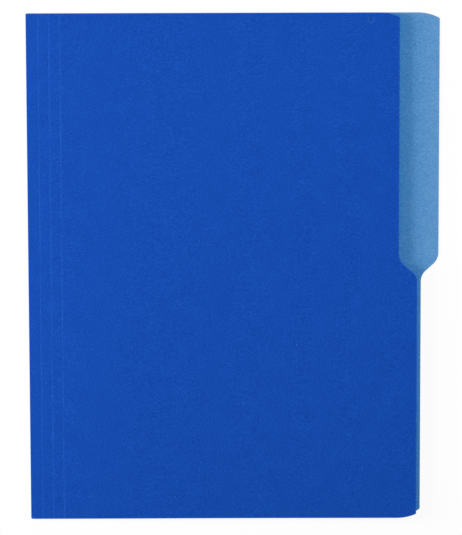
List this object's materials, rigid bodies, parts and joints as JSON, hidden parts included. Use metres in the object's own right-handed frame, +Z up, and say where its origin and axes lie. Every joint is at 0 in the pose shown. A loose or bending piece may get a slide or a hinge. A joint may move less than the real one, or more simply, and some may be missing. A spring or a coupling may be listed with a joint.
{
  "type": "file folder",
  "caption": "Closed letter-size file folder of two-tone card, dark outside and light inside, with a half-cut tab at one side, an undercut cover and score lines beside the fold.",
  "frame": {"origin": "under the middle of the closed folder, on the surface that the back leaf lies on", "axes": "+X from the fold to the tab, +Y along the fold towards the end with the tab, +Z up out of the front cover"},
  "size_m": [0.2414, 0.2984, 0.004],
  "materials": {
    "outer_card": "uncoated card dyed dark royal blue, matt with a faint fibre mottle",
    "inner_card": "uncoated card dyed light blue, matt"
  },
  "bodies": {
    "back_leaf": {"back_leaf_outer_ply": "outer_card", "back_leaf_inner_ply": "inner_card"},
    "spine_fold": {"spine_fold_outer_ply": "outer_card", "spine_fold_inner_ply": "inner_card"},
    "spine": {"spine_strip_1_outer_ply": "outer_card", "spine_strip_1_inner_ply": "inner_card", "spine_strip_2_outer_ply": "outer_card", "spine_strip_2_inner_ply": "inner_card", "spine_strip_3_outer_ply": "outer_card", "spine_strip_3_inner_ply": "inner_card"},
    "front_cover": {"front_cover_outer_ply": "outer_card", "front_cover_inner_ply": "inner_card"}
  },
  "joints": [
    {"name": "spine_rise", "type": "hinge", "parent": "back_leaf", "child": "spine_fold", "pos_m": [-0.12015, 0, 0], "axis": [0, -1, 0], "range_deg": [0, 90]},
    {"name": "cover_open", "type": "hinge", "parent": "spine_fold", "child": "spine", "pos_m": [-0.12015, 0, 0.0005], "axis": [0, 1, 0], "range_deg": [-179.25, 0], "deforming": ["spine_fold_outer_ply", "spine_fold_inner_ply"]},
    {"name": "score_3_bend", "type": "hinge", "parent": "spine", "child": "front_cover", "pos_m": [-0.1011, 0, 0.00095], "axis": [0, -1, 0], "range_deg": [-90, 0]}
  ],
  "couplings": [
    {"joint": "score_3_bend", "follows": "spine_rise", "ratio": -1}
  ]
}
